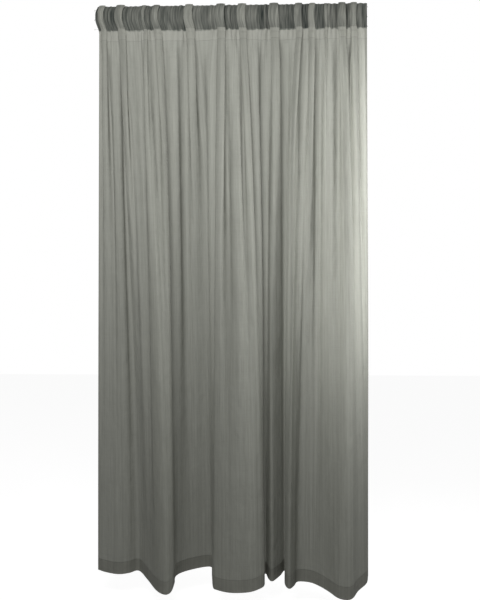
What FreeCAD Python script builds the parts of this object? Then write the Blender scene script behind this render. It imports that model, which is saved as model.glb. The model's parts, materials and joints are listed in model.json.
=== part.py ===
"""A gathered curtain on a telescopic rod, held to a wall by two brackets.

Frame: +X along the rod, +Z up, the wall is the plane y = 0 and the room is at negative y.
The origin is the centre of the back face of the left wall plate. Sizes are in millimetres.
"""
import FreeCAD, Part
import Sketcher
import math
import os
import re
from FreeCAD import Placement, Rotation, Vector

DOC = FreeCAD.newDocument("curtain_on_rod")

# Driving dimensions: the alias of each cell, its value and what it measures.
SIZES = [
    ("rod_projection", 115.0, "rod axis in front of the wall"),
    ("rod_height", 18.0, "rod axis above the middle of the wall plates"),
    ("rod_start", -45.0, "left end of the outer tube"),
    ("outer_tube_radius", 9.5, "outside of the outer tube"),
    ("outer_tube_bore", 8.6, "inside of the outer tube"),
    ("outer_tube_length", 1075.0, "length of the outer tube"),
    ("inner_tube_radius", 8.5, "outside of the inner tube"),
    ("inner_tube_bore", 7.7, "inside of the inner tube"),
    ("inner_tube_start", 500.0, "hidden left end of the inner tube"),
    ("inner_tube_length", 555.0, "length of the inner tube"),
    ("cap_radius", 11.0, "flange of an end cap"),
    ("cap_thickness", 5.0, "flange of an end cap"),
    ("cap_plug_length", 12.0, "plug of an end cap, inside its tube"),
    ("cap_edge_round", 1.5, "rounding of the flange of an end cap"),
    ("bracket_spacing", 1042.0, "between the middles of the two brackets"),
    ("plate_width", 30.0, "wall plate"),
    ("plate_height", 70.0, "wall plate"),
    ("plate_thickness", 3.0, "wall plate"),
    ("plate_corner", 6.0, "corner radius of a wall plate"),
    ("plate_hole_radius", 2.5, "screw holes of a wall plate"),
    ("plate_hole_spacing", 48.0, "between the two screw holes of a wall plate"),
    ("stud_radius", 3.5, "stud on a wall plate that carries the arm"),
    ("stud_length", 12.0, "stud on a wall plate that carries the arm"),
    ("arm_width", 12.0, "bracket arm, across"),
    ("arm_height", 14.0, "bracket arm, upright"),
    ("arm_nose", 6.0, "bracket arm past the rod axis"),
    ("cup_width", 14.0, "cup along the rod"),
    ("cup_radius", 12.5, "outside of the cup"),
    ("cup_rise", 5.0, "cup walls above the rod axis"),
    ("cup_clearance", 0.1, "between the inner tube and the right cup"),
    ("boss_radius", 4.5, "boss of the thumb screw on the back of a cup"),
    ("boss_reach", 16.0, "end of that boss from the rod axis"),
    ("grub_radius", 2.0, "grub screw under an arm"),
    ("grub_socket", 1.0, "flat radius of the grub screw's hexagon socket"),
    ("grub_inset", 9.0, "grub screw axis from the wall"),
    ("thumb_radius", 2.0, "shank of a thumb screw"),
    ("thumb_clearance", 0.1, "around the shank, and between its tip and the tube"),
    ("thumb_head_radius", 6.0, "head of a thumb screw"),
    ("thumb_head_start", 18.0, "head of a thumb screw from the rod axis"),
    ("thumb_head_length", 6.0, "head of a thumb screw"),
    ("thumb_notch", 0.7, "radius of the grip notches in that head"),
    ("ring_count", 12.0, "rings, with a screw eye and a hook each"),
    ("ring_first", -12.0, "middle of the first ring, left of the left bracket"),
    ("ring_last", 1020.0, "middle of the last ring"),
    ("ring_radius", 15.5, "middle of a ring's bar"),
    ("ring_bar", 2.5, "radius of a ring's bar"),
    ("ring_gap", 0.3, "between the top of the tube and the ring that hangs on it"),
    ("eye_tilt", 35.0, "screw eyes turn this far to the front, in degrees"),
    ("eye_reach", 23.5, "middle of an eye's loop from the ring's middle"),
    ("eye_loop", 3.2, "middle of the loop's wire"),
    ("eye_wire", 0.9, "radius of the loop's wire"),
    ("eye_shank", 0.8, "radius of the shank in the ring"),
    ("eye_shank_depth", 3.0, "shank inside the ring's bar"),
    ("hook_wire", 0.8, "radius of a hook's wire"),
    ("hook_top_bend", 2.0, "bend of a hook over its eye"),
    ("hook_low_bend", 2.0, "bend of a hook under its pocket"),
    ("hook_leg", 9.0, "leg of a hook in its pocket"),
    ("hook_spine", 14.0, "straight back of a hook"),
    ("hook_tail", 4.0, "free end of a hook behind its eye"),
    ("heading_left", -60.0, "left end of the heading"),
    ("heading_width", 1130.0, "gathered width of the heading"),
    ("heading_top", 63.0, "top edge of the curtain"),
    ("curtain_drop", 2410.0, "top edge to the lowest point of the hem"),
    ("curtain_inset", 17.0, "left edge of the curtain below the heading, from the heading's end"),
    ("cloth_thickness", 1.0, "cloth and its seams, evened out"),
    ("tape_top_inset", 3.0, "tape below the top edge"),
    ("tape_height", 100.0, "heading tape"),
    ("tape_back", 134.4, "back of the tape from the wall"),
    ("tape_thickness", 3.4, "tape with its pockets"),
    ("tape_strap", 0.6, "strap of a pocket behind the hook's leg"),
    ("pocket_width", 4.0, "hook pocket"),
    ("pocket_clearance", 1.0, "pocket above and below its hook"),
    ("pocket_window", 4.5, "open part under a pocket's strap"),
    ("cord_radius", 0.7, "gathering cord"),
    ("cord_tunnel", 1.0, "tunnel of a gathering cord in the tape"),
    ("cord_margin", 10.0, "outer cords from the tape's edges"),
    ("knot_radius", 2.2, "knot at each end of a cord"),
    ("knot_gap", 0.3, "between a knot and the end of the tape"),
    ("heading_back", 139.0, "back of the pleated heading from the wall"),
    ("heading_depth", 17.0, "front to back depth of the pleated heading"),
    ("hem_middle", 140.0, "middle of the folds at the hem, from the wall"),
    ("hem_depth", 228.0, "front to back depth of the folds at the hem"),
]

# Folds of the cloth from the left edge: place as a share of the width, and how far the fold
# stands to the front (positive) or back (negative) as a share of half the depth.
FOLDS = [
    (0.00, -0.70), (0.07, -0.40), (0.15, -0.70), (0.25, 0.80), (0.30, -0.40), (0.415, -1.00),
    (0.47, 0.55), (0.57, 0.60), (0.615, -0.60), (0.645, -0.10), (0.69, -0.85), (0.72, 0.30),
    (0.77, -0.10), (0.84, 0.20), (0.93, 1.00), (1.00, -0.05),
]

SHEET = DOC.addObject("Spreadsheet::Sheet", "Sizes")
for row, (alias, value, meaning) in enumerate(SIZES, start=1):
    SHEET.set(f"A{row}", meaning)
    SHEET.set(f"B{row}", str(value))
    SHEET.setAlias(f"B{row}", alias)
DOC.recompute()

PARTS = []


def size(alias):
    """Value of one driving dimension."""
    return float(SHEET.get(alias))


def cells(text):
    """Expression with every driving dimension in it named by its cell."""
    aliases = "|".join(alias for alias, _, _ in SIZES)
    return re.sub(rf"(?<![\w.])({aliases})(?!\w)", r"Sizes.\1", text)


def bind(thing, **expressions):
    """Drive properties of an object by expressions; a double underscore stands for a dot."""
    for name, text in expressions.items():
        thing.setExpression(name.replace("__", "."), cells(text))


def place(thing, x="0", y="0", z="0", axis=None, angle="0"):
    """Drive where an object stands, and how far it is turned about one axis."""
    if axis is not None:
        thing.Placement = Placement(Vector(), Rotation(axis, 1))
        bind(thing, Placement__Rotation__Angle=angle)
    bind(thing, Placement__Base__x=x, Placement__Base__y=y, Placement__Base__z=z)
    return thing


def keep(label, thing):
    """Name a finished sub-part, which is written to its own file."""
    thing.Label = label
    PARTS.append(thing)
    return thing


X_AXIS, Y_AXIS, Z_AXIS = Vector(1, 0, 0), Vector(0, 1, 0), Vector(0, 0, 1)


def cylinder(radius, length, axis=Z_AXIS, x="0", y="0", z="0"):
    """Cylinder from a point along +X, +Y or +Z."""
    rod = DOC.addObject("Part::Cylinder", "cylinder")
    bind(rod, Radius=radius, Height=length)
    turned_about, angle = {
        (1, 0, 0): (Y_AXIS, "90"), (0, 1, 0): (X_AXIS, "-90"), (0, 0, 1): (None, "0"),
    }[tuple(axis)]
    return place(rod, x, y, z, turned_about, angle)


def block(length, width, height, x, y, z):
    """Box from its lowest corner."""
    box = DOC.addObject("Part::Box", "box")
    bind(box, Length=length, Width=width, Height=height)
    return place(box, x, y, z)


def sphere(radius, x, y, z):
    """Ball round a point."""
    ball = DOC.addObject("Part::Sphere", "ball")
    bind(ball, Radius=radius)
    return place(ball, x, y, z)


def cut(base, *tools):
    """Base with each tool taken out of it."""
    for tool in tools:
        result = DOC.addObject("Part::Cut", "cut")
        result.Base, result.Tool = base, tool
        base = result
    return base


def fuse(first, *others):
    """One solid of all the pieces."""
    for other in others:
        result = DOC.addObject("Part::Fuse", "fuse")
        result.Base, result.Tool = first, other
        result.Refine = True
        first = result
    return first


def new_body(name):
    """Empty PartDesign body."""
    return DOC.addObject("PartDesign::Body", name)


def new_sketch(body, role):
    """Sketch on one of the body's origin planes."""
    sketch = body.newObject("Sketcher::SketchObject", "sketch")
    plane = next(f for f in body.Origin.OriginFeatures if f.Role == role)
    sketch.AttachmentSupport = [(plane, "")]
    sketch.MapMode = "FlatFace"
    return sketch


def fix(sketch, kind, value, *where):
    """Dimension in a sketch, driven by an expression."""
    index = sketch.addConstraint(Sketcher.Constraint(kind, *where, 1.0))
    sketch.setExpression(f"Constraints[{index}]", cells(value))


def add_circle(sketch, radius, across="0", up="0"):
    """Circle with its middle and radius dimensioned."""
    circle = sketch.addGeometry(Part.Circle(Vector(), Z_AXIS, 1.0), False)
    fix(sketch, "Radius", radius, circle)
    fix(sketch, "DistanceX", across, -1, 1, circle, 3)
    fix(sketch, "DistanceY", up, -1, 1, circle, 3)


def add_rectangle(sketch, left, bottom, right, top):
    """Rectangle with its edges dimensioned from the sketch's origin."""
    corners = [Vector(0, 0), Vector(1, 0), Vector(1, 1), Vector(0, 1)]
    lines = [sketch.addGeometry(Part.LineSegment(corners[i], corners[(i + 1) % 4]), False)
             for i in range(4)]
    for i in range(4):
        sketch.addConstraint(Sketcher.Constraint("Coincident", lines[i], 2, lines[(i + 1) % 4], 1))
    for line, kind in zip(lines, ["Horizontal", "Vertical"] * 2):
        sketch.addConstraint(Sketcher.Constraint(kind, line))
    fix(sketch, "DistanceX", left, -1, 1, lines[0], 1)
    fix(sketch, "DistanceY", bottom, -1, 1, lines[0], 1)
    fix(sketch, "DistanceX", right, -1, 1, lines[2], 1)
    fix(sketch, "DistanceY", top, -1, 1, lines[2], 1)


def pad(body, sketch, length, reverse=False):
    """Extrude a sketch along its normal, or against it."""
    feature = body.newObject("PartDesign::Pad", "pad")
    feature.Profile = sketch
    feature.Reversed = reverse
    bind(feature, Length=length)
    return feature


def pocket(body, sketch, depth, reverse=False, middle=False):
    """Cut a sketch into the body; fails if it takes nothing away."""
    DOC.recompute()
    before = body.Shape.Volume
    feature = body.newObject("PartDesign::Pocket", "pocket")
    feature.Profile = sketch
    feature.Reversed = reverse
    if middle:
        feature.SideType = "Symmetric"
    bind(feature, Length=depth)
    DOC.recompute()
    if body.Shape.Volume >= before:
        raise ValueError(f"a pocket in {body.Name} cuts nothing")
    return feature


def named_edges(body):
    """Each edge of the body so far, with its name."""
    DOC.recompute()
    return [(f"Edge{number}", edge) for number, edge in enumerate(body.Tip.Shape.Edges, start=1)]


def fillet(body, edges, radius):
    """Round some edges of the body."""
    base = body.Tip
    rounding = body.newObject("PartDesign::Fillet", "rounding")
    rounding.Base = (base, edges)
    bind(rounding, Radius=radius)


def tube(label, radius, bore, start, length):
    """Round tube on the rod axis."""
    body = new_body(label)
    section = new_sketch(body, "YZ_Plane")
    add_circle(section, radius)
    add_circle(section, bore)
    pad(body, section, length)
    place(body, start, "-rod_projection", "rod_height")
    return keep(label, body)


def end_cap(label, plug_radius, tube_end, turned):
    """Plug-in cap: a rounded flange against the tube's end and a plug inside the tube."""
    body = new_body(label)
    flange = new_sketch(body, "YZ_Plane")
    add_circle(flange, "cap_radius")
    pad(body, flange, "cap_thickness")
    plug = new_sketch(body, "YZ_Plane")
    add_circle(plug, plug_radius)
    pad(body, plug, "cap_plug_length", reverse=True)
    rim = [edge_name for edge_name, edge in named_edges(body)
           if is_rim(edge, size("cap_radius"), size("cap_thickness"))]
    fillet(body, rim, "cap_edge_round")
    place(body, tube_end, "-rod_projection", "rod_height", Z_AXIS, "180" if turned else "0")
    return keep(label, body)


def is_rim(edge, radius, x):
    """Whether an edge is a circle of one radius at one place along X."""
    curve = edge.Curve
    return (isinstance(curve, Part.Circle) and abs(curve.Radius - radius) < 0.01
            and abs(curve.Center.x - x) < 0.01)


def runs_along_y(edge):
    """Whether an edge is straight and along Y."""
    return abs(edge.tangentAt(edge.FirstParameter).y) > 0.99


def wall_plate(label, x):
    """Plate with two screw holes, rounded corners and a stud for the arm."""
    body = new_body(label)
    face = new_sketch(body, "XZ_Plane")
    add_rectangle(face, "-plate_width / 2", "-plate_height / 2", "plate_width / 2", "plate_height / 2")
    pad(body, face, "plate_thickness")
    fillet(body, [name for name, edge in named_edges(body) if runs_along_y(edge)], "plate_corner")
    holes = new_sketch(body, "XZ_Plane")
    add_circle(holes, "plate_hole_radius", "0", "plate_hole_spacing / 2")
    add_circle(holes, "plate_hole_radius", "0", "-plate_hole_spacing / 2")
    pocket(body, holes, "2 * plate_thickness + 2", middle=True)
    stud = new_sketch(body, "XZ_Plane")
    add_circle(stud, "stud_radius")
    pad(body, stud, "plate_thickness + stud_length")
    place(body, x)
    return keep(label, body)


def bracket_arm(label, x, cup_bore):
    """Arm on the plate's stud, with an open cup that the rod lies in."""
    arm = block("arm_width", "rod_projection + arm_nose - plate_thickness", "arm_height",
                "-arm_width / 2", "-rod_projection - arm_nose", "-arm_height / 2")
    cup = cylinder("cup_radius", "cup_width", X_AXIS, "-cup_width / 2", "-rod_projection", "rod_height")
    boss = cylinder("boss_radius", "boss_reach", Y_AXIS, "0", "-rod_projection", "rod_height")
    solid = fuse(arm, cup, boss)
    trough = cylinder(cup_bore, "cup_width + 2", X_AXIS, "-cup_width / 2 - 1", "-rod_projection",
                      "rod_height")
    mouth = block("cup_width + 2", f"2 * ({cup_bore})", "2 * cup_radius",
                  "-cup_width / 2 - 1", f"-rod_projection - ({cup_bore})", "rod_height")
    top = block("cup_width + 2", "2 * cup_radius + 2", "2 * cup_radius",
                "-cup_width / 2 - 1", "-rod_projection - cup_radius - 1", "rod_height + cup_rise")
    stud_bore = cylinder("stud_radius", "stud_length", Y_AXIS, "0", "-plate_thickness - stud_length", "0")
    thread = cylinder("thumb_radius + thumb_clearance", "2 * boss_reach", Y_AXIS,
                      "0", "-rod_projection", "rod_height")
    grub_hole = cylinder("grub_radius", "arm_height / 2", Z_AXIS, "0", "-grub_inset", "-arm_height / 2")
    arm = cut(solid, trough, mouth, top, stud_bore, thread, grub_hole)
    place(arm, x)
    return keep(label, arm)


def grub_screw(label, x):
    """Headless screw from under the arm to the stud, with a hexagon socket."""
    screw = cylinder("grub_radius", "arm_height / 2 - stud_radius")
    socket = DOC.addObject("Part::Prism", "socket")
    bind(socket, Circumradius="grub_socket", Height="(arm_height / 2 - stud_radius) / 2")
    screw = cut(screw, socket)
    place(screw, x, "-grub_inset", "-arm_height / 2")
    return keep(label, screw)


def thumb_screw(label, x, tube_radius):
    """Notched head and a shank that reaches the tube through the back of the cup."""
    body = new_body(label)
    head = new_sketch(body, "XZ_Plane")
    add_circle(head, "thumb_head_radius")
    pad(body, head, "thumb_head_length", reverse=True)
    shank = new_sketch(body, "XZ_Plane")
    add_circle(shank, "thumb_radius")
    pad(body, shank, f"thumb_head_start - {tube_radius} - thumb_clearance")
    notch = new_sketch(body, "XZ_Plane")
    add_circle(notch, "thumb_notch", "thumb_head_radius")
    groove = pocket(body, notch, "2 * thumb_head_length + 2", middle=True)
    notches = body.newObject("PartDesign::PolarPattern", "notches")
    notches.Originals = [groove]
    notches.Axis = (next(f for f in body.Origin.OriginFeatures if f.Role == "Y_Axis"), [""])
    notches.Angle = 360
    notches.Occurrences = 16
    body.Tip = notches
    place(body, x, "thumb_head_start - rod_projection", "rod_height")
    return keep(label, body)


RING_MIDDLE = "(rod_height + outer_tube_radius + ring_gap - ring_radius + ring_bar)"
RING_PITCH = "(ring_last - ring_first) / (ring_count - 1)"


def ring_place(index):
    """Expression for the place of one ring along the rod, the first being number 0."""
    return f"ring_first + {index} * {RING_PITCH}"


def rod_ring(label, x):
    """Round ring that hangs on the rod, bored for the shank of its screw eye."""
    hoop = DOC.addObject("Part::Torus", "hoop")
    bind(hoop, Radius1="ring_radius", Radius2="ring_bar")
    place(hoop, axis=Y_AXIS, angle="90")
    bore = cylinder("eye_shank", "ring_bar + 1")
    shank_start = "(ring_radius + ring_bar - eye_shank_depth)"
    place(bore, "0", f"-sin(eye_tilt) * {shank_start}", f"-cos(eye_tilt) * {shank_start}",
          X_AXIS, "180 - eye_tilt")
    ring = cut(hoop, bore)
    place(ring, x, "-rod_projection", RING_MIDDLE)
    return keep(label, ring)


def screw_eye(label, x):
    """Loop of wire on a shank, pointing down and to the front."""
    loop = DOC.addObject("Part::Torus", "loop")
    bind(loop, Radius1="eye_loop", Radius2="eye_wire")
    place(loop, z="eye_reach", axis=X_AXIS, angle="90")
    shank_start = "(ring_radius + ring_bar - eye_shank_depth)"
    shank = cylinder("eye_shank", f"eye_reach - eye_loop - {shank_start}", Z_AXIS, "0", "0", shank_start)
    eye = fuse(loop, shank)
    place(eye, x, "-rod_projection", RING_MIDDLE, X_AXIS, "180 - eye_tilt")
    return keep(label, eye)


EYE_BOTTOM_FRONT = "(rod_projection + sin(eye_tilt) * (eye_reach + eye_loop))"
EYE_BOTTOM_HEIGHT = f"({RING_MIDDLE} - cos(eye_tilt) * (eye_reach + eye_loop))"
HOOK_LEG_FRONT = f"({EYE_BOTTOM_FRONT} + hook_top_bend + 2 * hook_low_bend)"
HOOK_TIP_HEIGHT = f"({EYE_BOTTOM_HEIGHT} - hook_spine + hook_leg)"


def curtain_hook(label, x):
    """Wire bent into an S: a leg for the tape's pocket and a hook over the screw eye."""
    body = new_body(label)
    path = new_sketch(body, "YZ_Plane")
    low, top = size("hook_low_bend"), size("hook_top_bend")
    leg, spine, tail = size("hook_leg"), size("hook_spine"), size("hook_tail")
    spine_end = spine - leg
    lines = [
        path.addGeometry(Part.LineSegment(Vector(0, 0), Vector(0, -leg)), False),
        path.addGeometry(Part.ArcOfCircle(Part.Circle(Vector(low, -leg), Z_AXIS, low),
                                          math.pi, 2 * math.pi), False),
        path.addGeometry(Part.LineSegment(Vector(2 * low, -leg), Vector(2 * low, spine_end)), False),
        path.addGeometry(Part.ArcOfCircle(Part.Circle(Vector(2 * low + top, spine_end), Z_AXIS, top),
                                          0, math.pi), False),
        path.addGeometry(Part.LineSegment(Vector(2 * low + 2 * top, spine_end),
                                          Vector(2 * low + 2 * top, spine_end - tail)), False),
    ]
    joints = [(0, 2, 1, 1), (1, 2, 2, 1), (2, 2, 3, 2), (3, 1, 4, 1)]
    path.addConstraint(Sketcher.Constraint("Coincident", lines[0], 1, -1, 1))
    for first, first_end, second, second_end in joints:
        path.addConstraint(Sketcher.Constraint("Tangent", lines[first], first_end,
                                               lines[second], second_end))
    for straight in (lines[0], lines[2], lines[4]):
        path.addConstraint(Sketcher.Constraint("Vertical", straight))
    for line, length in ((0, "hook_leg"), (2, "hook_spine"), (4, "hook_tail")):
        fix(path, "Distance", length, lines[line])
    fix(path, "Radius", "hook_low_bend", lines[1])
    fix(path, "Radius", "hook_top_bend", lines[3])
    section = new_sketch(body, "XY_Plane")
    add_circle(section, "hook_wire")
    DOC.recompute()
    wire = body.newObject("PartDesign::AdditivePipe", "wire")
    wire.Profile = section
    wire.Spine = path
    place(body, x, f"-{HOOK_LEG_FRONT}", HOOK_TIP_HEIGHT)
    return keep(label, body)


CORD_HEIGHTS = [
    "heading_top - tape_top_inset - cord_margin",
    "heading_top - tape_top_inset - tape_height / 2",
    "heading_top - tape_top_inset - tape_height + cord_margin",
]


def heading_tape(label):
    """Tape behind the heading, with a pocket for each hook and three tunnels for the cords."""
    body = new_body(label)
    left, top = "heading_left", "(heading_top - tape_top_inset)"
    slab = new_sketch(body, "XZ_Plane")
    add_rectangle(slab, left, f"{top} - tape_height", "heading_left + heading_width", top)
    pad(body, slab, "tape_thickness")
    floor = "(tape_strap + tape_back)"
    low_end = f"({HOOK_TIP_HEIGHT} - hook_leg - hook_low_bend - hook_wire - pocket_clearance)"
    groove = new_sketch(body, "XY_Plane")
    add_rectangle(groove, "ring_first - pocket_width / 2", "-tape_thickness - 1",
                  "ring_first + pocket_width / 2", "-tape_strap")
    bind(groove, AttachmentOffset__Base__z=low_end)
    deep = pocket(body, groove, f"{HOOK_TIP_HEIGHT} + pocket_clearance - {low_end}", reverse=True)
    window = new_sketch(body, "XY_Plane")
    add_rectangle(window, "ring_first - pocket_width / 2", "-tape_thickness - 1",
                  "ring_first + pocket_width / 2", "1")
    bind(window, AttachmentOffset__Base__z=low_end)
    opening = pocket(body, window, "pocket_window", reverse=True)
    row = body.newObject("PartDesign::LinearPattern", "row")
    row.Originals = [deep, opening]
    row.Direction = (next(f for f in body.Origin.OriginFeatures if f.Role == "X_Axis"), [""])
    bind(row, Length="ring_last - ring_first", Occurrences="ring_count")
    body.Tip = row
    tunnels = new_sketch(body, "YZ_Plane")
    for height in CORD_HEIGHTS:
        add_circle(tunnels, "cord_tunnel", "-tape_thickness / 2", height)
    pocket(body, tunnels, "4 * heading_width", middle=True)
    place(body, y="-tape_back")
    return keep(label, body)


def gathering_cord(label, height):
    """Straight cord through the tape with a knot at each end."""
    depth = "-tape_back - tape_thickness / 2"
    reach = "(knot_gap + knot_radius)"
    cord = cylinder("cord_radius", f"heading_width + 2 * {reach}", X_AXIS,
                    f"heading_left - {reach}", depth, height)
    left_knot = sphere("knot_radius", f"heading_left - {reach}", depth, height)
    right_knot = sphere("knot_radius", f"heading_left + heading_width + {reach}", depth, height)
    return keep(label, fuse(cord, left_knot, right_knot))


def cloth_section(height, left, middle, depth):
    """Closed thin outline of the folded cloth at one height."""
    width = size("heading_left") + size("heading_width") - left
    crests = [Vector(left + place_share * width, -middle - fold * depth / 2, height)
              for place_share, fold in FOLDS]
    line = []
    for first, second in zip(crests, crests[1:]):
        line += [first, (first + second) / 2]
    line.append(crests[-1])
    offset = []
    for number, point in enumerate(line):
        before, after = line[max(number - 1, 0)], line[min(number + 1, len(line) - 1)]
        along = (after - before).normalize()
        offset.append(point + Vector(along.y, -along.x, 0) * size("cloth_thickness"))
    front, back = Part.BSplineCurve(), Part.BSplineCurve()
    front.interpolate(offset)
    back.interpolate(line)
    edges = [back.toShape(), Part.makeLine(line[-1], offset[-1]),
             front.toShape(), Part.makeLine(offset[0], line[0])]
    return Part.Wire(Part.__sortEdges__(edges))


def curtain_panel(label):
    """Folded cloth from the heading to the hem, shallow folds opening into deep ones."""
    top = size("heading_top")
    tape_end = top - size("tape_top_inset") - size("tape_height")
    heading_left = size("heading_left")
    body_left = heading_left + size("curtain_inset")
    heading_middle = size("heading_back") + size("heading_depth") / 2
    hem = top - size("curtain_drop")
    sections = [
        cloth_section(top, heading_left, heading_middle, size("heading_depth")),
        cloth_section(tape_end, heading_left, heading_middle, size("heading_depth")),
        cloth_section(tape_end - 50, body_left, heading_middle, 1.4 * size("heading_depth")),
        cloth_section(hem, body_left, size("hem_middle"), size("hem_depth")),
    ]
    panel = DOC.addObject("Part::Feature", label)
    panel.Shape = Part.makeLoft(sections, True, True)
    panel.Placement = Placement()
    return keep(label, panel)


def build():
    """Every sub-part of the curtain and its rod."""
    tube("rod_outer_tube", "outer_tube_radius", "outer_tube_bore", "rod_start", "outer_tube_length")
    tube("rod_inner_tube", "inner_tube_radius", "inner_tube_bore", "inner_tube_start", "inner_tube_length")
    end_cap("end_cap_left", "outer_tube_bore", "rod_start", True)
    end_cap("end_cap_right", "inner_tube_bore", "inner_tube_start + inner_tube_length", False)
    sides = [
        ("left", "0", "outer_tube_radius", "outer_tube_radius"),
        ("right", "bracket_spacing", "inner_tube_radius", "inner_tube_radius + cup_clearance"),
    ]
    for side, x, tube_radius, cup_bore in sides:
        wall_plate(f"wall_plate_{side}", x)
        bracket_arm(f"bracket_arm_{side}", x, cup_bore)
        grub_screw(f"grub_screw_{side}", x)
        thumb_screw(f"thumb_screw_{side}", x, tube_radius)
    for index in range(int(size("ring_count"))):
        number = f"{index + 1:02d}"
        rod_ring(f"ring_{number}", ring_place(index))
        screw_eye(f"screw_eye_{number}", ring_place(index))
        curtain_hook(f"curtain_hook_{number}", ring_place(index))
    curtain_panel("curtain_panel")
    heading_tape("heading_tape")
    for name, height in zip(("top", "middle", "bottom"), CORD_HEIGHTS):
        gathering_cord(f"gathering_cord_{name}", height)


def check():
    """Stop if any object failed, or any sub-part has no valid solid."""
    DOC.recompute()
    for thing in DOC.Objects:
        if "Invalid" in thing.State or "Error" in thing.State:
            raise ValueError(f"{thing.Name} failed: {thing.State}")
    for part in PARTS:
        if part.Shape.isNull() or not part.Shape.isValid() or not part.Shape.Solids:
            raise ValueError(f"{part.Label} has no valid solid")


def write():
    """Write each sub-part to its own STEP file."""
    os.makedirs("parts", exist_ok=True)
    for part in PARTS:
        part.Shape.exportStep(f"parts/{part.Label}.step")
        box = part.Shape.BoundBox
        print(f"{part.Label}: {len(part.Shape.Solids)} solid, {part.Shape.Volume:.1f} mm3, "
              f"x {box.XMin:.1f}..{box.XMax:.1f} y {box.YMin:.1f}..{box.YMax:.1f} "
              f"z {box.ZMin:.1f}..{box.ZMax:.1f}")


build()
check()
write()
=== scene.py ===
"""Looks for a gathered, semi-sheer curtain on a telescopic rod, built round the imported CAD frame.

Metres, +Z up, the wall is y = 0 and the room is at negative y.
"""
import json
import math

import bpy
import numpy as np
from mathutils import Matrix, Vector


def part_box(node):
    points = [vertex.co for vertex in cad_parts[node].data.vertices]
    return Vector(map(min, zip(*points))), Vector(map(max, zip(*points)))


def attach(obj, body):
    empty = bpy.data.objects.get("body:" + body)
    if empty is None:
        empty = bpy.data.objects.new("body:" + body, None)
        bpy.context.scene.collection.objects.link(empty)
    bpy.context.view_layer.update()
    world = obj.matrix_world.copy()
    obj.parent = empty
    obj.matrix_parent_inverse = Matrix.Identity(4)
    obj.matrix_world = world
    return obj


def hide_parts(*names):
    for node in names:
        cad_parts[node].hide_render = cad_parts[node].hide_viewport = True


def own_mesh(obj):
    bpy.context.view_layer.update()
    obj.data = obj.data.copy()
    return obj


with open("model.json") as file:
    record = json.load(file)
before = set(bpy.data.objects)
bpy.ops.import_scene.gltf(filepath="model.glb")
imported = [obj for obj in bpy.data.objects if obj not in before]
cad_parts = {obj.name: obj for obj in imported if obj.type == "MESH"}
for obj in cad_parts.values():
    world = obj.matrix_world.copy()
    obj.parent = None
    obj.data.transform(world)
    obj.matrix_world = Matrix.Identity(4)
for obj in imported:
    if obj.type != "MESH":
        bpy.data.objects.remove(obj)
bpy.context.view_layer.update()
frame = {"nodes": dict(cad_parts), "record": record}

# ---------------------------------------------------------------- places from the frame
TAPE_LOW, TAPE_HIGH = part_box("heading_tape")
PANEL_LOW, PANEL_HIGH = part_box("curtain_panel")
TOP = PANEL_HIGH.z
HEM_LIFT = 0.095            # height gained per metre that a fold of the hem stands back
HEM_REACH = 0.116           # how far the hem's front fold stands out from the hem's middle
DROP = PANEL_HIGH.z - PANEL_LOW.z - HEM_REACH * HEM_LIFT
HEADING_LEFT = TAPE_LOW.x
HEADING_RIGHT = TAPE_HIGH.x
TAPE_FRONT = TAPE_LOW.y
TAPE_START = TOP - TAPE_HIGH.z
TAPE_END = TOP - TAPE_LOW.z
HEM_MIDDLE = (PANEL_LOW.y + PANEL_HIGH.y) / 2

# ---------------------------------------------------------------- sizes of the cloth
EDGE_INSET = 0.017          # the cloth's left edge sits this far inside the heading's end
TURN_OVER = 0.145           # top hem, turned to the back, measured from the top edge
BOTTOM_HEM = 0.052
SIDE_HEM = 0.012
STITCH_ROWS = [TAPE_START + 0.005, TAPE_END - 0.006, TURN_OVER, DROP - BOTTOM_HEM + 0.002]
CREST_LINE = TAPE_FRONT - 0.0012   # where the heading's back crests are sewn to the tape
LAYER_GAP = 0.0010          # a turned hem lies this far behind the cloth
TAPE_GAP = 0.0022           # and the tape this far
SIDE_GAPS = 0.0008, 0.0016  # and the first and second turn of a side hem
SEED = 7

# The hem from the left edge: place as a share of the width, distance to the front in metres.
HEM_LINE = [
    (-0.025, -0.090), (0.010, -0.070), (0.060, -0.055), (0.100, -0.065), (0.135, -0.085),
    (0.180, -0.015), (0.225, 0.065), (0.260, 0.095), (0.280, 0.075), (0.285, 0.010),
    (0.285, -0.050), (0.330, -0.095), (0.410, -0.125), (0.420, -0.055), (0.430, 0.035),
    (0.445, 0.055), (0.495, 0.075), (0.560, 0.070), (0.600, 0.045), (0.620, 0.015),
    (0.620, -0.045), (0.625, -0.075), (0.635, -0.035), (0.650, -0.015), (0.680, -0.060),
    (0.700, -0.100), (0.695, 0.000), (0.710, 0.040), (0.730, 0.015), (0.745, -0.015),
    (0.790, -0.010), (0.825, 0.020), (0.855, 0.060), (0.880, 0.100), (0.910, 0.115),
    (0.935, 0.100), (0.960, 0.050), (1.000, -0.010), (1.015, -0.070),
]

# Flutes that hang from the heading: middle as a share of its width, front face in metres, and how
# far down they keep their shape (1 is the usual distance).
FLUTES = [
    (0.020, 0.030, 0.8), (0.090, 0.040, 1.0), (0.175, 0.024, 0.8), (0.225, 0.030, 1.3),
    (0.345, 0.036, 0.9), (0.460, 0.040, 1.4), (0.540, 0.038, 1.2), (0.655, 0.040, 1.0),
    (0.745, 0.032, 1.2), (0.795, 0.027, 0.9), (0.845, 0.016, 0.7), (0.905, 0.032, 0.6),
    (0.950, 0.030, 0.6),
]
FACE_SHARE = 0.43           # front face of a flute as a share of its cloth; the rest is folded behind it
FACE_BULGE = 0.45           # how strongly the face bulges, in radians
FLUTE_SWING = 2.80          # how far the folded part turns back, in radians

# Small pleats between the flutes.
PLEAT_PITCH = 0.021         # gathered width of a pleat
PLEAT_SHIFT = 0.3           # how far a pleat's edge may move, as a share of its width
PLEAT_DEPTHS = 0.5, 1.4     # shallowest and deepest pleat, against what the gathering needs

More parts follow.
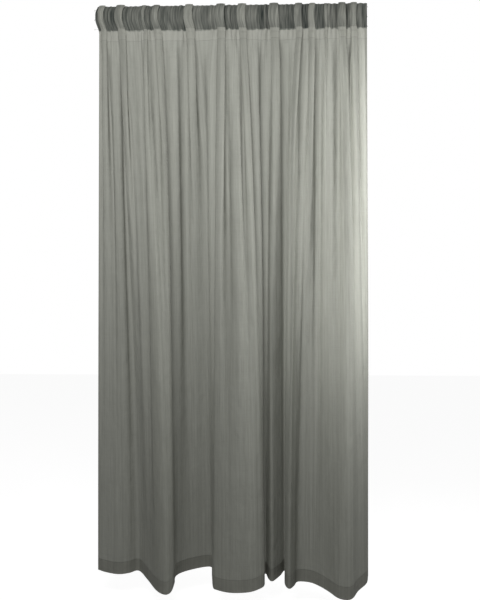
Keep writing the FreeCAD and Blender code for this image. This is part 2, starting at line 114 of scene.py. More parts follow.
# How the folds change on the way down from the heading.
HANG_POWER = 1.6            # the larger, the sooner the cloth takes on the hem's folds
FADE_POWER = 1.3            # the larger, the sooner the flutes flatten
HEM_POWER = 0.8             # the larger, the later the hem's folds begin
LEANS = (0.009, 26.0), (0.006, 12.0)   # sideways lean of the folds in the heading: size, radians a metre
FLUTE_EDGE = 0.002, 0.05    # rounding of a flute's edges under the tape, and its change down to the hem
STEER_REACH = 0.14, -0.08   # width over which a thread is drawn to its place, and its change, likewise
LOOSE_AT = 0.2              # this far below the tape, loose waves take up the spare cloth
SEWN_TO = 0.06              # this far below the tape, the stitching no longer holds the pleats' crests
CREASE_LENGTH = 0.05        # usual distance below the tape over which a pleat dies out
FOLD_PITCH = 0.15           # usual width of a loose wave, on the flat cloth

COLUMNS = 900
QUICK_COLUMNS = 500
HEM_ROWS = 14


# ---------------------------------------------------------------- small maths
def smoothstep(x, low, high):
    """0 below low, 1 above high, and a smooth step between."""
    t = np.clip((np.asarray(x, float) - low) / (high - low), 0, 1)
    return t * t * (3 - 2 * t)


def wander(x, pitch, rng):
    """Smooth noise of one variable, about -1 to 1, with bumps one pitch wide."""
    count = int((np.max(x) - np.min(x)) / pitch) + 4
    knots = rng.uniform(-1, 1, count)
    place = (np.asarray(x) - np.min(x)) / pitch
    low = np.floor(place).astype(int)
    part = place - low
    part = part * part * (3 - 2 * part)
    return knots[low] * (1 - part) + knots[low + 1] * part


def running_sum(values, step):
    """Integral from the first value, by the trapezium rule."""
    return np.concatenate([[0], np.cumsum((values[1:] + values[:-1]) / 2 * step)])


def smooth_line(points, count):
    """Catmull-Rom line through the points, sampled at even lengths."""
    samples = 40
    p = np.array(points, float)
    p = np.vstack([2 * p[0] - p[1], p, 2 * p[-1] - p[-2]])
    t = np.linspace(0, 1, samples, endpoint=False)[:, None]
    runs = []
    for a, b, c, d in zip(p, p[1:], p[2:], p[3:]):
        runs.append(0.5 * (2 * b + (c - a) * t + (2 * a - 5 * b + 4 * c - d) * t ** 2
                           + (3 * b - a - 3 * c + d) * t ** 3))
    line = np.vstack(runs + [p[-2:-1]])
    length = np.concatenate([[0], np.cumsum(np.linalg.norm(np.diff(line, axis=0), axis=1))])
    even = np.linspace(0, length[-1], count)
    return np.column_stack([np.interp(even, length, line[:, k]) for k in (0, 1)]), length[-1]


def mean_cosine(swing):
    """Share of its length that a wavy line covers when its direction swings by that many radians."""
    phase = np.linspace(0, math.pi, 200)
    return np.cos(np.outer(swing, np.sin(phase))).mean(axis=1)


SWINGS = np.linspace(0, 2.2, 221)
COVERED = mean_cosine(SWINGS)


def swing_for(cover):
    """Swing of a wavy line that covers the given share of its length."""
    return np.interp(cover, COVERED[::-1], SWINGS[::-1])


# ---------------------------------------------------------------- the hanging cloth
def smoothed(values, reach):
    """Values averaged over a window of that many samples to each side, with the ends held."""
    kernel = np.hanning(2 * reach + 3)
    padded = np.pad(values, reach + 1, mode="reflect", reflect_type="odd")
    return np.convolve(padded, kernel / kernel.sum(), mode="valid")


def flute_turn(t):
    """Direction of the cloth through a flute: folded back under it, across its face, and out again."""
    behind = 0.5 - FACE_SHARE / 2

    def fold(t):
        return smoothstep(t, 0, 0.09) * (1 - smoothstep(t, behind - 0.04, behind + 0.05))

    face = np.clip((t - 0.5) / (FACE_SHARE / 2), -1, 1)
    bulge = FACE_BULGE * np.sin(math.pi / 2 * face) * (1 - np.abs(face)) ** 0.5
    return FLUTE_SWING * (fold(1 - t) - fold(t)) + bulge * (t > 0) * (t < 1)


class Cloth:
    """Where each point of the hanging cloth lies, by its place across and down the flat cloth."""

    def __init__(self, columns):
        rng = np.random.default_rng(SEED)
        left, right = HEADING_LEFT + EDGE_INSET, HEADING_RIGHT
        hem = [(left + share * (right - left), HEM_MIDDLE - front) for share, front in HEM_LINE]
        self.hem, self.width = smooth_line(hem, columns)
        self.across = np.linspace(0, self.width, columns)
        self.step = self.across[1]
        run = np.gradient(self.hem, self.step, axis=0)
        self.hem_angle = smoothed(np.unwrap(np.arctan2(run[:, 1], run[:, 0])), int(0.006 / self.step))
        self.lay_heading(rng)
        pitch = FOLD_PITCH * (1 + 0.35 * wander(self.across, 0.3, rng))
        self.fold_phase = running_sum(2 * math.pi / pitch, self.step)
        self.crease_length = CREASE_LENGTH * np.exp(1.1 * wander(self.across, 0.03, rng))
        self.lean = [wander(self.across, 0.06, rng) for _ in LEANS]
        self.top_path = self.follow(self.flute_angle + self.pleat_angle, self.pleat_angle, right - left)

    def lay_heading(self, rng):
        """Direction of the cloth along the heading, for the flutes and for the small pleats between them."""
        width = HEADING_RIGHT - HEADING_LEFT
        t = np.linspace(0, 1, 400)
        cover = np.cos(flute_turn(t)).mean()
        cloths = [face / FACE_SHARE for _, face, _ in FLUTES]
        flat_cover = (width - cover * sum(cloths)) / (self.width - sum(cloths))
        self.flute_angle = np.zeros_like(self.across)
        self.pleat_angle = np.zeros_like(self.across)
        self.keeps = np.ones_like(self.across)
        place, cloth_place, crests = 0.0, 0.0, []
        for (share, _, keep), cloth in zip(FLUTES + [(None, 0, 1)], cloths + [0.0]):
            neck = cover * cloth
            start = width if share is None else share * width - neck / 2
            gap = max(start - place, 0.0)
            count = max(1, round(gap / PLEAT_PITCH))
            cuts = np.linspace(0, 1, count + 1)
            cuts[1:-1] += rng.uniform(-PLEAT_SHIFT, PLEAT_SHIFT, count - 1) / count
            cuts = cloth_place + cuts * gap / flat_cover
            for low, high in zip(cuts, cuts[1:]):
                t = self.inside(low, high)
                swing = swing_for(flat_cover) * rng.uniform(*PLEAT_DEPTHS)
                self.pleat_angle -= swing * np.sin(2 * math.pi * t)
            crests += list(cuts)
            cloth_place = cuts[-1]
            if cloth:
                t = self.inside(cloth_place, cloth_place + cloth)
                self.flute_angle += flute_turn(t)
                self.keeps[(t > 0) & (t < 1)] = keep
            cloth_place += cloth
            place = start + neck
        self.crests = np.array(crests)
        self.keeps = smoothed(self.keeps, int(0.03 / self.step))
        self.in_flute = smoothed((np.abs(self.flute_angle) > 0).astype(float), int(0.01 / self.step))

    def inside(self, low, high):
        """How far each place lies from low to high, 0 to 1; both ends give no turn."""
        return np.clip((self.across - low) / (high - low), 0, 1)

    def span(self, angle):
        """Width that a thread with those directions spans."""
        return np.cos(angle).mean() * self.width

    def follow(self, angle, waves, width):
        """Path of a thread with about those directions, spanning the width.

        A thread that would span more gets waves as well, and one that would span less is straightened.
        """
        def waved(share):
            return angle + share * waves

        def straightened(share):
            return share * angle

        bend, most = (waved, 1.5) if self.span(angle) > width else (straightened, 1.0)
        low, high = 0.0, most
        for _ in range(25):
            middle = (low + high) / 2
            low, high = (middle, high) if self.span(bend(middle)) > width else (low, middle)
        angle = bend(low)
        x, y = running_sum(np.cos(angle), self.step), running_sum(np.sin(angle), self.step)
        return np.column_stack([x * width / x[-1], y])

    def row(self, down):
        """Points of one level thread, down metres below the top edge, and how freely it hangs, 0 to 1."""
        below = max(down - TAPE_END, 0.0)
        part = min(below / (DROP - TAPE_END), 1.0)
        hung = 1 - (1 - part) ** HANG_POWER
        left = self.left_edge(down)
        width = HEADING_RIGHT - left + hung * (self.hem[-1, 0] - HEADING_RIGHT)
        wave = min(down, TAPE_END + 0.02)
        sway = sum(size * lean * math.sin(wave * rate) for (size, rate), lean in zip(LEANS, self.lean))
        moved = self.across + sway
        rounded = smoothed(self.flute_angle, int((FLUTE_EDGE[0] + FLUTE_EDGE[1] * part) / self.step))
        flutes = np.interp(moved, self.across, rounded)
        pleats = np.interp(moved, self.across, self.pleat_angle) * np.exp(-below / self.crease_length)
        fades = (1 - hung ** self.keeps) ** FADE_POWER
        angle = fades * (flutes + pleats) + math.sin(math.pi / 2 * hung) ** HEM_POWER * self.hem_angle
        loose = float(smoothstep(below, 0, LOOSE_AT))
        waves = (1 - loose) * pleats + loose * np.sin(self.fold_phase) * (1 - self.in_flute) * (1 - hung ** 3)
        made = self.follow(angle, waves, width)
        top = np.column_stack([left + self.top_path[:, 0] * (HEADING_RIGHT - left) / self.top_path[-1, 0],
                               CREST_LINE + self.top_path[:, 1]])
        wanted = top * (1 - hung) + self.hem * hung
        reach = int((STEER_REACH[0] + STEER_REACH[1] * part) / self.step)
        made += np.column_stack([smoothed(wanted[:, k] - made[:, k], reach) for k in (0, 1)])
        crests = np.interp(self.crests, moved, self.across)
        off = np.interp(self.across, crests, np.interp(crests, self.across, made[:, 1]) - CREST_LINE)
        made[:, 1] -= off * (1 - float(smoothstep(below, 0, SEWN_TO)))
        return made[:, 0], made[:, 1], hung

    def left_edge(self, down):
        """The heading's left end bulges past the cloth below it."""
        rise = float(smoothstep(down, -0.02, 0.03))
        fall = 1 - float(smoothstep(down, 0.05, TAPE_END + 0.012))
        return HEADING_LEFT + EDGE_INSET * (1 - rise * fall)

    def height(self, down, hung, y):
        """Height of the points of one thread: the front folds hang a little lower at the hem."""
        lower = HEM_LIFT * (HEM_MIDDLE - y) * hung ** 3
        return TOP - down - lower


def backing(cloth, across, downs):
    """Painted shade of the heading, about 0 to 1: how far the cloth's colour is darkened where the tape
    behind it would block the light; less where the cloth stands off the tape.
    """
    rng = np.random.default_rng(SEED + 1)
    stands_off = smoothstep(-cloth.top_path[:, 1], 0.0010, 0.0085)
    stands_off *= 0.85 + 0.20 * wander(cloth.across, 0.04, rng)
    edge = TAPE_END + 0.002 + 0.003 * wander(cloth.across, 0.05, rng) - 0.008 * stands_off
    shade = 0.95 + 0.25 * wander(cloth.across, 0.035, rng)
    stands_off, edge, shade = (np.interp(across, cloth.across, values)
                               for values in (stands_off, edge, shade))
    down = np.asarray(downs)[:, None]
    sewn_down = np.abs(down - (TAPE_START + TAPE_END) / 2) / (TAPE_END - TAPE_START) * 2
    # painted shade, lifted on lobes that stand off the tape, more so at the middle of its height
    shade = shade - 0.85 * stands_off ** (1 + 1.6 * sewn_down ** 2)
    return np.clip(shade, 0, 1.2) * (1 - smoothstep(down - edge, -0.002, 0.002))


def rows_down(quick):
    """Distances below the top edge of the cloth's threads that become mesh rows."""
    fine = 0.006 if quick else 0.004
    coarse = 0.035 if quick else 0.022
    heading = np.arange(0, TURN_OVER + 0.03, fine)
    body = np.arange(heading[-1] + fine, DROP - BOTTOM_HEM - coarse / 2, coarse)
    hem = np.linspace(DROP - BOTTOM_HEM, DROP, HEM_ROWS)
    return np.concatenate([heading, body, hem])


def cloth_grid(cloth, downs):
    """Array of points: one row for each thread, one column for each place across."""
    rows = []
    for down in downs:
        x, y, hung = cloth.row(down)
        rows.append(np.column_stack([x, y, cloth.height(down, hung, y)]))
    return np.array(rows)


def grid_normals(grid):
    """Unit normals of a grid of points, towards the back."""
    across = np.gradient(grid, axis=1)
    down = np.gradient(grid, axis=0)
    normal = np.cross(across, down)
    return normal / np.maximum(np.linalg.norm(normal, axis=2, keepdims=True), 1e-9)


def mesh_piece(name, points, faces, material, smooth):
    """Object of a new mesh; smooth says for each face if it is shaded smooth."""
    mesh = bpy.data.meshes.new(name)
    mesh.from_pydata(points.tolist(), [], faces)
    mesh.polygons.foreach_set("use_smooth", smooth)
    mesh.materials.append(material)
    mesh.update()
    piece = bpy.data.objects.new(name, mesh)
    bpy.context.scene.collection.objects.link(piece)
    return piece


def grid_mesh(name, cloth, patches, material):
    """Object of one or more patches, each a grid of points with its places on the flat cloth."""
    points, faces, flats, shades = [], [], [], []
    start = 0
    for grid, across, downs in patches:
        rows, columns = grid.shape[:2]
        points.append(grid.reshape(-1, 3))
        number = start + np.arange(rows * columns).reshape(rows, columns)
        corners = [number[:-1, :-1], number[1:, :-1], number[1:, 1:], number[:-1, 1:]]
        faces.append(np.stack(corners, axis=-1).reshape(-1, 4))
        u, v = np.meshgrid(across, -np.asarray(downs))
        flats.append(np.column_stack([u.ravel(), v.ravel()]))
        # painted tape shade for each point, kept on the mesh as an attribute
        shades.append(backing(cloth, across, downs).ravel())
        start += rows * columns
    points, faces, flats = np.vstack(points), np.vstack(faces), np.vstack(flats)
    piece = mesh_piece(name, points, faces.tolist(), material, [True] * len(faces))
    flat_map = piece.data.uv_layers.new(name="cloth")
    flat_map.data.foreach_set("uv", flats[faces.ravel()].astype(np.float32).ravel())
    shade = piece.data.attributes.new("backing", "FLOAT", "POINT")
    shade.data.foreach_set("value", np.concatenate(shades).astype(np.float32))
    return piece


# ---------------------------------------------------------------- materials
class Nodes:
    """Short calls for building a node material."""

    def __init__(self, name):
        self.material = bpy.data.materials.new(name)
        self.material.use_nodes = True
        self.tree = self.material.node_tree
        self.tree.nodes.clear()
        self.output = self.tree.nodes.new("ShaderNodeOutputMaterial")

    def add(self, kind, **sockets):
        """New node with the named sockets set or linked."""
        node = self.tree.nodes.new("ShaderNode" + kind)
        for name, value in sockets.items():
            self.put(node, name.replace("_", " "), value)
        return node

    def put(self, node, name, value):
        """Set a socket, or link an output to it."""
        socket = node.inputs[int(name)] if name.isdigit() else node.inputs[name]
        if isinstance(value, bpy.types.NodeSocket):
            self.tree.links.new(value, socket)
        else:
            socket.default_value = value

    def math(self, operation, *values, clamp=False):
        """Result of a Math node."""
        node = self.tree.nodes.new("ShaderNodeMath")
        node.operation = operation
        node.use_clamp = clamp
        for index, value in enumerate(values):
            self.put(node, str(index), value)
        return node.outputs[0]

    def mix(self, factor, low, high):
        """Colour between two colours."""
        node = self.tree.nodes.new("ShaderNodeMix")
        node.data_type = "RGBA"
        for index, value in ((0, factor), (6, low), (7, high)):
            self.put(node, str(index), value)
        return node.outputs[2]

    def noise(self, vector, scale, detail=2.0):
        """Value of a Noise texture, 0 to 1."""
        node = self.add("TexNoise", Vector=vector, Scale=scale, Detail=detail)
        return node.outputs["Fac"]

    def stretched(self, vector, scale):
        """Coordinates scaled by a different amount along each axis."""
        node = self.add("Mapping", Vector=vector, Scale=scale)
        return node.outputs["Vector"]

    def span(self, value, low, high, to_low=0.0, to_high=1.0):
        """Value moved from one range to another, held inside it."""
        node = self.add("MapRange", Value=value)
        for name, number in (("From Min", low), ("From Max", high), ("To Min", to_low), ("To Max", to_high)):
            node.inputs[name].default_value = number
        return node.outputs["Result"]

    def finish(self, shader):
        """Use a shader as the surface."""
        self.tree.links.new(shader, self.output.inputs["Surface"])
        return self.material


# Marks in the cloth, as bumps a metre across and up.
SLUBS = (620.0, 7.0, 1.0)
BANDS = (90.0, 0.8, 1.0)
WEFT = (9.0, 800.0, 1.0)
GATHERS = (150.0, 13.0, 1.0)
CREASES = (11.0, 7.0, 1.0)

# Near-black of the painted shade over the tape, where the tape behind would block the light.
TAPE_SHADE_DARK = (0.01, 0.02, 0.017, 1)
# Pale tint of the painted light below the tape and in the bottom hem.
PAINTED_LIGHT_TINT = (0.9, 0.85, 0.78, 1)
THREAD = (0.10, 0.105, 0.10, 1)
STITCH = 0.004              # length of a stitch
STITCH_HALF = 0.0008        # half the width of a line of stitching

# How strongly each mark, painted shade and painted light shows, as a share.
SHADE_STREAKS = 0.70              # painted shade and highlight in streaks over the tape's gathers
DOUBLED_LAYER_LIGHT = 0.04              # painted light: paler below the tape, where the turned top hem would lie behind
BOTTOM_HEM_LIGHT = 0.05               # painted light: paler in the bottom hem, against the shade of its doubled layer
THREAD_SHOWS = 0.45


def weave(n, flat):
    """Tone of a slubby plain weave, 0 to 1, from the place on the flat cloth."""
    slubs = n.noise(n.stretched(flat, SLUBS), 1.0, 3.0)
    bands = n.noise(n.stretched(flat, BANDS), 1.0, 2.0)
    weft = n.noise(n.stretched(flat, WEFT), 1.0, 2.0)
    tone = n.math("ADD", n.math("MULTIPLY", slubs, 0.5), n.math("MULTIPLY", bands, 0.35))
    return n.math("ADD", tone, n.math("MULTIPLY", weft, 0.15))


def band(n, down, low, high, soft):
    """1 between two distances below the top edge, 0 elsewhere."""
    into = n.span(down, low - soft, low + soft)
    out = n.span(down, high - soft, high + soft, 1.0, 0.0)
    return n.math("MULTIPLY", into, out)


def tape_shadow(n, flat, down, tape_shade_value):
    """Painted shade that the tape puts on the cloth over it, with painted shade and highlight in streaks over
    the gathers, and the height of its puckers there.
    """
    gathers = n.noise(n.stretched(flat, GATHERS), 1.0, 1.0)
    puckers = n.math("MULTIPLY", gathers, band(n, down, 0.0, TAPE_END + 0.004, 0.008))
    on_tape = band(n, down, 0.0, TAPE_END, 0.003)
    # painted shade and highlight of the gathers' wrinkles, on the tape only
    shade_streaks = n.math("MULTIPLY", n.span(gathers, 0.3, 0.7, -0.5, 0.5), on_tape)
    return n.math("ADD", tape_shade_value, n.math("MULTIPLY", shade_streaks, SHADE_STREAKS)), puckers


def stitching(n, across, down):
    """1 on the stitches of every sewn line and less between them, 0 elsewhere."""
    sewn = 0.0
    for row in STITCH_ROWS:
        sewn = n.math("ADD", sewn, band(n, down, row - STITCH_HALF, row + STITCH_HALF, 0.0006))
    along = n.math("SINE", n.math("MULTIPLY", across, 2 * math.pi / STITCH))
    return n.math("MULTIPLY", sewn, n.span(along, -0.3, 0.3, 0.5, 1.0))


def voile(name, dark, light, tape_shade, glow):
    """Thin cloth with upright slubs, lit from both sides.

    tape_shade is how strongly the painted tape shade darkens it, and glow the share of its light that comes
    through it.
    """
    n = Nodes(name)
    flat = n.add("UVMap").outputs["UV"]
    place = n.add("SeparateXYZ", Vector=flat)
    down = n.math("MULTIPLY", place.outputs["Y"], -1.0)
    # painted tape shade, read from the mesh attribute
    tape_shade_attribute = n.add("Attribute")
    tape_shade_attribute.attribute_name = "backing"
    tape_shade_value = tape_shade_attribute.outputs["Fac"]

    tone = weave(n, flat)
    colour = n.mix(n.span(tone, 0.35, 0.65), dark, light)
    shadow, puckers = tape_shadow(n, flat, down, tape_shade_value)
    # painted shade over the tape, towards near-black
    colour = n.mix(n.math("MULTIPLY", shadow, tape_shade, clamp=True), colour, TAPE_SHADE_DARK)
    # painted light below the tape, where the turned top hem would lie behind
    below_tape = band(n, down, TAPE_END - 0.010, TURN_OVER, 0.0015)
    doubled_layer_light = n.math("MULTIPLY", below_tape, n.math("SUBTRACT", 1.0, tape_shade_value))
    colour = n.mix(n.math("MULTIPLY", doubled_layer_light, DOUBLED_LAYER_LIGHT), colour, PAINTED_LIGHT_TINT)
    # painted light in the bottom hem, against the shade of its doubled layer
    bottom_hem_light = band(n, down, DROP - BOTTOM_HEM, DROP + 1.0, 0.004)
    colour = n.mix(n.math("MULTIPLY", bottom_hem_light, BOTTOM_HEM_LIGHT), colour, PAINTED_LIGHT_TINT)
    sewn = stitching(n, place.outputs["X"], down)
    colour = n.mix(n.math("MULTIPLY", sewn, THREAD_SHOWS), colour, THREAD)

    relief = n.math("SUBTRACT", tone, n.math("MULTIPLY", sewn, 1.2))
    creases = n.noise(n.stretched(flat, CREASES), 1.0, 4.0)
    bump = n.add("Bump", Strength=0.3, Distance=0.0006, Height=relief).outputs["Normal"]
    bump = n.add("Bump", Strength=0.8, Distance=0.004, Height=puckers, Normal=bump).outputs["Normal"]
    bump = n.add("Bump", Strength=0.7, Distance=0.020, Height=creases, Normal=bump).outputs["Normal"]

    front = n.add("BsdfPrincipled", Base_Color=colour, Roughness=0.85, Normal=bump)
    front.inputs["Sheen Weight"].default_value = 0.05
    back = n.add("BsdfTranslucent", Color=colour, Normal=bump)
    cloth = n.add("MixShader", Fac=glow)
    n.put(cloth, "1", front.outputs[0])
    n.put(cloth, "2", back.outputs[0])
    return n.finish(cloth.outputs[0])


# ---------------------------------------------------------------- build the cloth
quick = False
cloth = Cloth(QUICK_COLUMNS if quick else COLUMNS)
downs = rows_down(quick)
grid = cloth_grid(cloth, downs)
backs = grid_normals(grid)


def layer(low, high, first, last, away, ramp=0.004):
    """Patch that lies away behind the cloth, and meets it at top and bottom within the ramp.

    It runs from low to high below the top edge, and from first to last across the flat cloth.
    """
    rows = (downs >= low - 1e-6) & (downs <= high + 1e-6)
    columns = (cloth.across >= first - 1e-6) & (cloth.across <= last + 1e-6)
    d, u = downs[rows], cloth.across[columns]
    lift = away * np.minimum(smoothstep(d, d[0] - ramp / 2, d[0] + ramp),
                             1 - smoothstep(d, d[-1] - ramp, d[-1] + ramp / 2))
    points = grid[np.ix_(rows, columns)] + backs[np.ix_(rows, columns)] * lift[:, None, None]
    return points, u, d


def hang(piece):
    """Keep a piece of the curtain on the fixed body, with a mesh of its own."""
    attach(piece, "fixed")
    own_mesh(piece)


WIDE = (0.0, cloth.width)
LEFT_HEM = (0.0, SIDE_HEM / 2)
RIGHT_HEM = (cloth.width - SIDE_HEM, cloth.width)
SIDE_RAMP = 0.03
patches = [
    (grid, cloth.across, downs),
    layer(0.0, TAPE_END - 0.002, *WIDE, LAYER_GAP),
    layer(DROP - BOTTOM_HEM, DROP, *WIDE, LAYER_GAP),
    layer(0.0, DROP, *LEFT_HEM, SIDE_GAPS[0], SIDE_RAMP),
    layer(0.0, DROP, *RIGHT_HEM, SIDE_GAPS[0], SIDE_RAMP),
    layer(0.0, DROP, *RIGHT_HEM, SIDE_GAPS[1], SIDE_RAMP),
]
voile_material = voile("voile", (0.285, 0.290, 0.256, 1), (0.405, 0.412, 0.367, 1), 0.62, 0.50)
panel = grid_mesh("curtain_cloth", cloth, patches, voile_material)

tape_patches = [layer(TAPE_START, TAPE_END, *WIDE, TAPE_GAP)]
tape_material = voile("tape", (0.42, 0.43, 0.41, 1), (0.60, 0.61, 0.59, 1), 0.0, 0.0)
tape = grid_mesh("heading_tape_cloth", cloth, tape_patches, tape_material)

for piece, node, slot in (
        (panel, "curtain_panel", "curtain_cloth"),
        (tape, "heading_tape", "heading_tape"),
):
    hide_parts(node)
    hang(piece)


# ---------------------------------------------------------------- hardware materials
def hardware(name, colour, metallic, roughness, grain, relief):
    """Metal or plastic with a fine grain in its colour, gloss and surface; grain is bumps per metre."""
    n = Nodes(name)
    place = n.add("TexCoord").outputs["Object"]
    fine = n.noise(n.stretched(place, grain), 1.0, 4.0)
    broad = n.noise(place, 45.0, 3.0)
    worn = n.math("ADD", n.math("MULTIPLY", fine, 0.5), n.math("MULTIPLY", broad, 0.5))
    dull = tuple(0.78 * c for c in colour) + (1,)
    bright = tuple(min(1.1 * c, 1) for c in colour) + (1,)
    bump = n.add("Bump", Strength=0.25, Distance=relief, Height=fine).outputs["Normal"]
    tone = n.mix(n.span(worn, 0.35, 0.65), dull, bright)
    gloss = n.span(worn, 0.3, 0.7, roughness - 0.08, roughness + 0.10)
    surface = n.add("BsdfPrincipled", Base_Color=tone, Roughness=gloss, Normal=bump)
    surface.inputs["Metallic"].default_value = metallic
    return n.finish(surface.outputs[0])


BRUSHED = (60.0, 2600.0, 2600.0)
PEBBLED = (1400.0, 1400.0, 1400.0)
HARDWARE = {
    "rod_metal": hardware("satin_nickel_rod", (0.50, 0.49, 0.47), 1.0, 0.34, BRUSHED, 0.00005),
    "ring_metal": hardware("satin_nickel_ring", (0.48, 0.47, 0.45), 1.0, 0.30, PEBBLED, 0.00004),
    "screw_metal": hardware("zinc_screw", (0.56, 0.56, 0.54), 1.0, 0.38, PEBBLED, 0.00005),
    "bracket_metal": hardware("powder_coat", (0.42, 0.42, 0.41), 0.0, 0.48, PEBBLED, 0.00020),
    "cap_plastic": hardware("moulded_cap", (0.30, 0.31, 0.31), 0.0, 0.42, PEBBLED, 0.00012),
    "hook_plastic": hardware("nylon_hook", (0.80, 0.80, 0.76), 0.0, 0.36, PEBBLED, 0.00006),
}
for part in frame["record"]["subparts"]:
    if part["material_slot"] in HARDWARE:
        mesh = frame["nodes"][part["node"]].data
        mesh.materials.clear()
        mesh.materials.append(HARDWARE[part["material_slot"]])


# ---------------------------------------------------------------- gathering cords and hook pockets
def tube(line, radius, sides, start):
    """Points and faces of a round tube along a line of points, numbered from start; its ends are closed."""
    line = np.array(line, float)
    along = np.gradient(line, axis=0)
    along /= np.linalg.norm(along, axis=1, keepdims=True)
    side = np.cross(along, (0.3, 0.2, 1.0))
    side /= np.linalg.norm(side, axis=1, keepdims=True)
    up = np.cross(side, along)
    turn = np.linspace(0, 2 * math.pi, sides, endpoint=False)
    ring = side[:, None] * np.cos(turn)[:, None] + up[:, None] * np.sin(turn)[:, None]
    points = line[:, None] + ring * np.broadcast_to(radius, len(line))[:, None, None]
    number = start + np.arange(len(line) * sides).reshape(-1, sides)
    after = np.roll(number, -1, axis=1)
    faces = np.stack([number[:-1], number[1:], after[1:], after[:-1]], axis=-1).reshape(-1, 4).tolist()
    return points.reshape(-1, 3), faces + [number[0].tolist(), number[-1][::-1].tolist()]


def tube_piece(name, lines, radius, sides, material):
    """One object of several tubes."""
    points, faces = [], []
    for line in lines:
        more, sheets = tube(line, radius, sides, sum(map(len, points)))
        points.append(more)
        faces += sheets
    return mesh_piece(name, np.vstack(points), faces, material, [len(face) == 4 for face in faces])


def braid(name, dark, light, twist):
    """Cord or webbing with threads that slant both ways; twist is radians of their pattern a metre."""
    n = Nodes(name)
    place = n.add("TexCoord").outputs["Object"]
    axes = n.add("SeparateXYZ", Vector=place)
    waves = []
    along = n.math("MULTIPLY", axes.outputs["X"], twist)
    for way in (1.0, -1.0):
        slant = n.math("ADD", along, n.math("MULTIPLY", axes.outputs["Z"], way * twist))
        waves.append(n.math("SINE", slant))
    threads = n.math("MULTIPLY", n.math("ADD", *waves), 0.5)
    tone = n.math("ADD", n.math("MULTIPLY", threads, 0.5), n.noise(place, 900.0, 3.0))
    bump = n.add("Bump", Strength=0.5, Distance=0.0003, Height=tone).outputs["Normal"]
    colour = n.mix(n.span(tone, 0.1, 0.9), dark, light)
    surface = n.add("BsdfPrincipled", Base_Color=colour, Roughness=0.8, Normal=bump)
    return n.finish(surface.outputs[0])


def knot_line(centre, size, way):
    """Overhand knot with a short tail, as a line; way is the side that the tail leaves on."""
    t = np.linspace(0, 2 * math.pi, 60)
    x = (np.sin(t) + 2 * np.sin(2 * t)) / 3
    y = (np.cos(t) - 2 * np.cos(2 * t)) / 3
    z = -np.sin(3 * t) / 2.2
    knot = np.column_stack([z, y, x]) * size + centre
    tail = np.linspace(0, 1, 8)[1:, None]
    end = knot[-1] + tail * np.array([way * 0.3, 0.0, -1.0]) * 2.5 * size + tail ** 2 * np.array([0, size, 0])
    return np.vstack([knot, end])


cord_material = braid("gathering_cord", (0.42, 0.42, 0.40, 1), (0.66, 0.66, 0.63, 1), 3200.0)
strap_material = braid("pocket_strap", (0.34, 0.35, 0.33, 1), (0.52, 0.53, 0.50, 1), 2400.0)
CORD_SIDES = 8
CORD_WAVE = 0.017           # pitch of the cord's slight waves inside the tape
STRAP_HALF = 0.0050         # half the length of a pocket's loop
STRAP_BOW = 0.0022          # how far the loop bows out behind the hook's leg
STRAP_WIDTH, STRAP_THICK = 0.0035, 0.0005
STRAP_HEIGHTS = 0.35, 0.80  # places of a hook's two loops, as shares of its height


def gathering_cord(node):
    """Cord pulled tight through the tape, with a knot at each end, in place of its CAD solid."""
    low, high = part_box(node)
    centre = (low + high) / 2
    knot = (high.z - low.z) / 2
    core = 0.32 * knot
    x = np.linspace(low.x + knot, high.x - knot, 240)
    sway = 0.25 * core * np.sin((x - low.x) * 2 * math.pi / CORD_WAVE)
    lines = [np.column_stack([x, centre.y + sway, np.full_like(x, centre.z)])]
    for place, way in ((low.x + knot, -1), (high.x - knot, 1)):
        lines.append(knot_line(np.array([place, centre.y, centre.z]), knot * 0.62, way))
    piece = tube_piece(node + "_braid", lines, core, CORD_SIDES, cord_material)
    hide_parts(node)
    return piece


def hook_pockets():
    """Woven loops on the tape's back that hold the hooks: two to a hook, behind its leg."""
    lines = []
    t = np.linspace(-1, 1, 15)
    for name in sorted(node for node in frame["nodes"] if node.startswith("curtain_hook")):
        low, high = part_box(name)
        middle = (low.x + high.x) / 2
        leg = low.y + (high.x - low.x) / 2
        x = middle + t * STRAP_HALF
        y = leg - 0.0008 + (1 - t ** 4) * STRAP_BOW
        for height in STRAP_HEIGHTS:
            z = low.z + height * (high.z - low.z)
            lines.append(np.column_stack([x, y, np.full_like(t, z)]))
    return lines


def strap_piece(name, lines, width, thick, material):
    """One object of flat straps that stand upright, along the lines."""
    points, faces = [], []
    for line in lines:
        start = sum(map(len, points))
        for dy, dz in [(-thick, -width), (thick, -width), (thick, width), (-thick, width)]:
            points.append(line + np.array([0, dy / 2, dz / 2]))
        number = start + np.arange(4 * len(line)).reshape(4, -1)
        after = np.roll(number, -1, axis=0)
        sides = [number[:, :-1], number[:, 1:], after[:, 1:], after[:, :-1]]
        faces += np.stack(sides, axis=-1).reshape(-1, 4).tolist()
        faces += [number[:, 0].tolist(), number[::-1, -1].tolist()]
    return mesh_piece(name, np.vstack(points), faces, material, [False] * len(faces))


straps = strap_piece("hook_pocket_straps", hook_pockets(), STRAP_WIDTH, STRAP_THICK, strap_material)
hang(straps)
for node in sorted(frame["nodes"]):
    if node.startswith("gathering_cord"):
        hang(gathering_cord(node))

# ---------------------------------------------------------------- stage, light and camera
STUDIO_LIGHT = 0.16         # soft light from all round; the camera sees the backdrop itself as white
world = bpy.data.worlds.new("studio")
world.use_nodes = True
world_nodes = world.node_tree
background = world_nodes.nodes["Background"]
background.inputs["Color"].default_value = (1, 1, 1, 1)
seen = world_nodes.nodes.new("ShaderNodeLightPath").outputs["Is Camera Ray"]
strength = world_nodes.nodes.new("ShaderNodeMapRange")
strength.inputs["To Min"].default_value = STUDIO_LIGHT
world_nodes.links.new(seen, strength.inputs["Value"])
world_nodes.links.new(strength.outputs["Result"], background.inputs["Strength"])
bpy.context.scene.world = world
bpy.context.scene.view_settings.view_transform = "Standard"


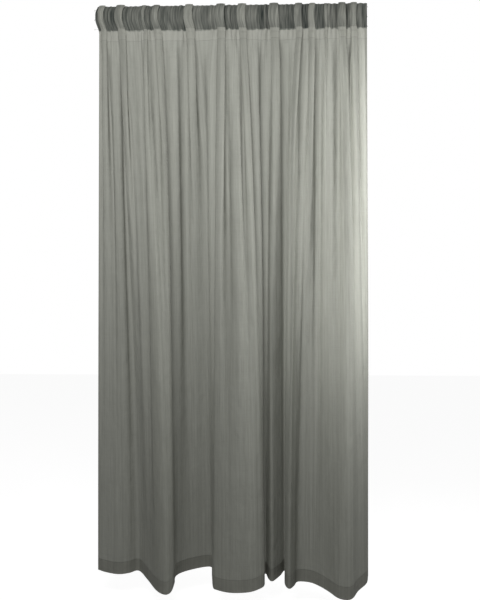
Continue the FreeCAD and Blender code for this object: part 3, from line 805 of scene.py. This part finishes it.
def area_light(name, place, target, size, power):
    """Soft lamp, wide and tall as size says, aimed at a point; power is in watts."""
    data = bpy.data.lights.new(name, "AREA")
    data.shape = "RECTANGLE"
    data.size, data.size_y = size
    data.energy = power
    lamp = bpy.data.objects.new(name, data)
    lamp.location = place
    lamp.rotation_euler = (Vector(target) - Vector(place)).to_track_quat("-Z", "Y").to_euler()
    lamp.visible_camera = False
    bpy.context.scene.collection.objects.link(lamp)


MIDDLE_X = (HEADING_LEFT + EDGE_INSET + HEADING_RIGHT) / 2
CLOTH_Y = -0.14             # depth at which the lamps aim
UPPER = TOP - 0.25          # height of the lamps in front and behind
SIDE = TOP - 0.85           # height of the lamps at the right edge
BROAD = (1.2, 0.8)
area_light("front", (MIDDLE_X - 0.3, -1.75, UPPER), (MIDDLE_X - 0.1, CLOTH_Y, UPPER), BROAD, 36)
area_light("behind", (MIDDLE_X - 0.2, 1.5, UPPER), (MIDDLE_X, CLOTH_Y, UPPER), BROAD, 9)
area_light("behind_right", (HEADING_RIGHT + 0.10, 0.14, SIDE), (HEADING_RIGHT + 0.03, CLOTH_Y, SIDE),
           (0.10, 1.3), 4)
area_light("right", (HEADING_RIGHT + 0.55, -0.40, SIDE), (HEADING_RIGHT, CLOTH_Y, SIDE), (0.3, 1.2), 14)

FLOOR = PANEL_LOW.z - 0.10
FLOOR_SEEN = 0.90           # glow that only the camera sees: the floor looks about as pale as the backdrop
floor_mesh = bpy.data.meshes.new("floor")
floor_mesh.from_pydata([(-6, -6, FLOOR), (7, -6, FLOOR), (7, 8, FLOOR), (-6, 8, FLOOR)], [], [(0, 1, 2, 3)])
floor = bpy.data.objects.new("floor", floor_mesh)
bpy.context.scene.collection.objects.link(floor)
n = Nodes("floor")
seen = n.add("LightPath").outputs["Is Camera Ray"]
pale = n.add("Emission", Strength=n.span(seen, 0.0, 1.0, STUDIO_LIGHT, FLOOR_SEEN))
both = n.add("AddShader")
n.put(both, "0", n.add("BsdfDiffuse", Color=(0.35, 0.35, 0.35, 1)).outputs[0])
n.put(both, "1", pale.outputs[0])
floor_mesh.materials.append(n.finish(both.outputs[0]))

CAMERA_DISTANCE = 2.6
VIEW_HEIGHT = 2.49          # height of the picture at the curtain
VIEW_SHIFT = 0.032          # the picture's middle lies this far right of the curtain's
SENSOR = 24
TURN = math.radians(1.7)
camera_data = bpy.data.cameras.new("camera")
camera_data.sensor_fit = "VERTICAL"
camera_data.sensor_height = SENSOR
camera_data.lens = SENSOR * CAMERA_DISTANCE / VIEW_HEIGHT
camera = bpy.data.objects.new("camera", camera_data)
camera.location = (MIDDLE_X + VIEW_SHIFT + CAMERA_DISTANCE * math.sin(TURN),
                   HEM_MIDDLE - CAMERA_DISTANCE * math.cos(TURN), TOP + 0.02 - VIEW_HEIGHT / 2)
camera.rotation_euler = (math.radians(90), 0, TURN)
bpy.context.scene.collection.objects.link(camera)
bpy.context.scene.camera = camera
